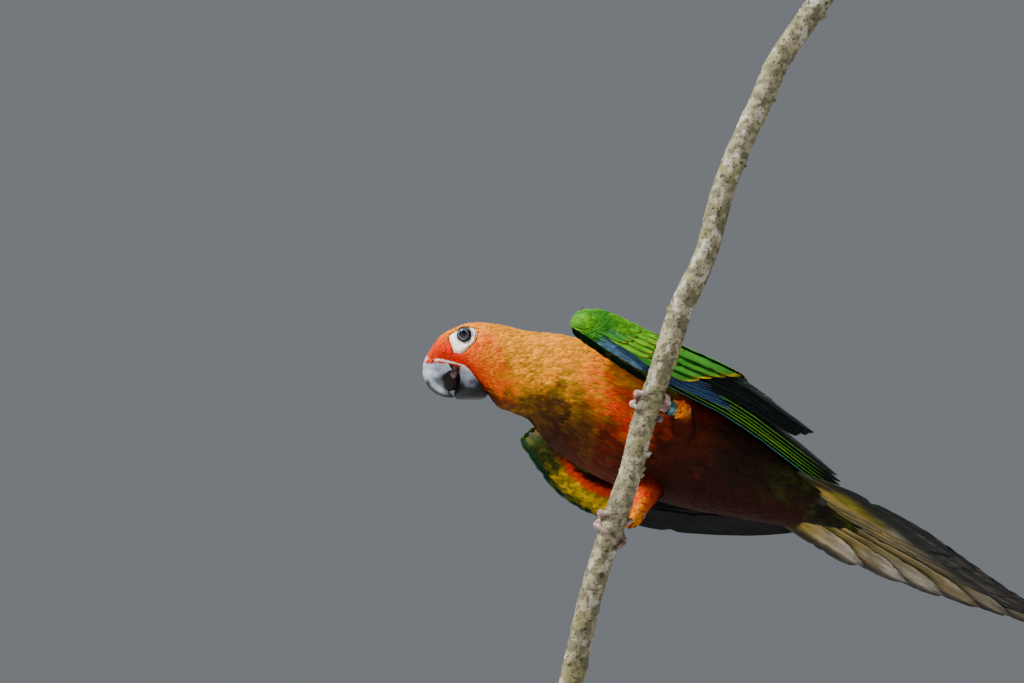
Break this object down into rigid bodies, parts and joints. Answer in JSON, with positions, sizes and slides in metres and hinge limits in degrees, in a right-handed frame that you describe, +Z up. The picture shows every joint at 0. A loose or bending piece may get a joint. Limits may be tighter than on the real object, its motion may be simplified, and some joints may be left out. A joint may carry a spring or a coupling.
{
  "type": "parrot figure",
  "caption": "Still life-size sun conure clinging behind a steep cut branch, wings held a little off the body and tail spread, on a plain display stand.",
  "frame": {"origin": "centre of the underside of the stand's base", "axes": "+Z up, -X the way the bird's head points, -Y towards the side its belly and the perch are seen from"},
  "size_m": [0.2965, 0.1842, 0.3973],
  "materials": {
    "plumage": "soft overlapping feathers, orange to golden yellow",
    "wing_feathers": "flat overlapping vanes, green with blue and yellow edges",
    "tail_feathers": "long flat vanes, olive to grey",
    "bill_horn": "horn, slate grey with a soft sheen",
    "mouth_skin": "moist skin",
    "eye": "wet dark eye",
    "foot_skin": "scaled pinkish grey skin",
    "claw_horn": "dark horn",
    "band_metal": "worn tinted metal",
    "bark": "grey bark with pale lichen",
    "stand_wood": "wood painted satin black",
    "stand_steel": "plain steel rod"
  },
  "bodies": {
    "root": {"head": "plumage", "neck": "plumage", "torso": "plumage", "thigh_left": "plumage", "thigh_right": "plumage", "wing_left": "wing_feathers", "wing_right": "wing_feathers", "tail": "tail_feathers", "bill_upper": "bill_horn", "bill_lower": "bill_horn", "tongue": "mouth_skin", "eye_left": "eye", "eye_right": "eye", "foot_left": "foot_skin", "foot_right": "foot_skin", "claw_left_outer": "claw_horn", "claw_left_inner": "claw_horn", "claw_left_hind": "claw_horn", "claw_left_back": "claw_horn", "claw_right_outer": "claw_horn", "claw_right_inner": "claw_horn", "claw_right_hind": "claw_horn", "claw_right_back": "claw_horn", "leg_band": "band_metal", "perch": "bark", "stand_base": "stand_wood", "stand_rod": "stand_steel"}
  },
  "joints": []
}
